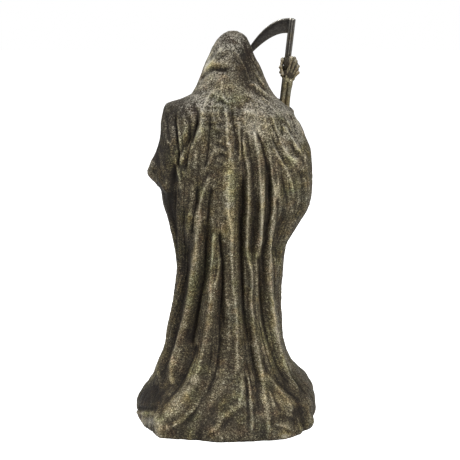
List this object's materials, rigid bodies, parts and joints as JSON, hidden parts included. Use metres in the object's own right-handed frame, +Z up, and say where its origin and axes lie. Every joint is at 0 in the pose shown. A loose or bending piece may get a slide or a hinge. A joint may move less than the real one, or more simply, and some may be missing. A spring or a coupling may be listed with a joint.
{
  "type": "grim reaper figurine",
  "caption": "Standing hooded reaper in a long folded robe that flares to the floor, one bony fist raised and closed around a scythe.",
  "frame": {"origin": "middle of the figure's flat underside in plan, at floor level", "axes": "+Z up, the figure faces -Y, its right hand with the scythe is at -X"},
  "size_m": [0.2338, 0.2208, 0.5016],
  "materials": {
    "antique_resin": "rough sandy cast resin, antique bronze with worn golden ridges and dark hollows",
    "scythe_resin": "smoother cast resin, dark grey bronze"
  },
  "bodies": {
    "root": {"reaper_figure": "antique_resin", "scythe": "scythe_resin"}
  },
  "joints": []
}
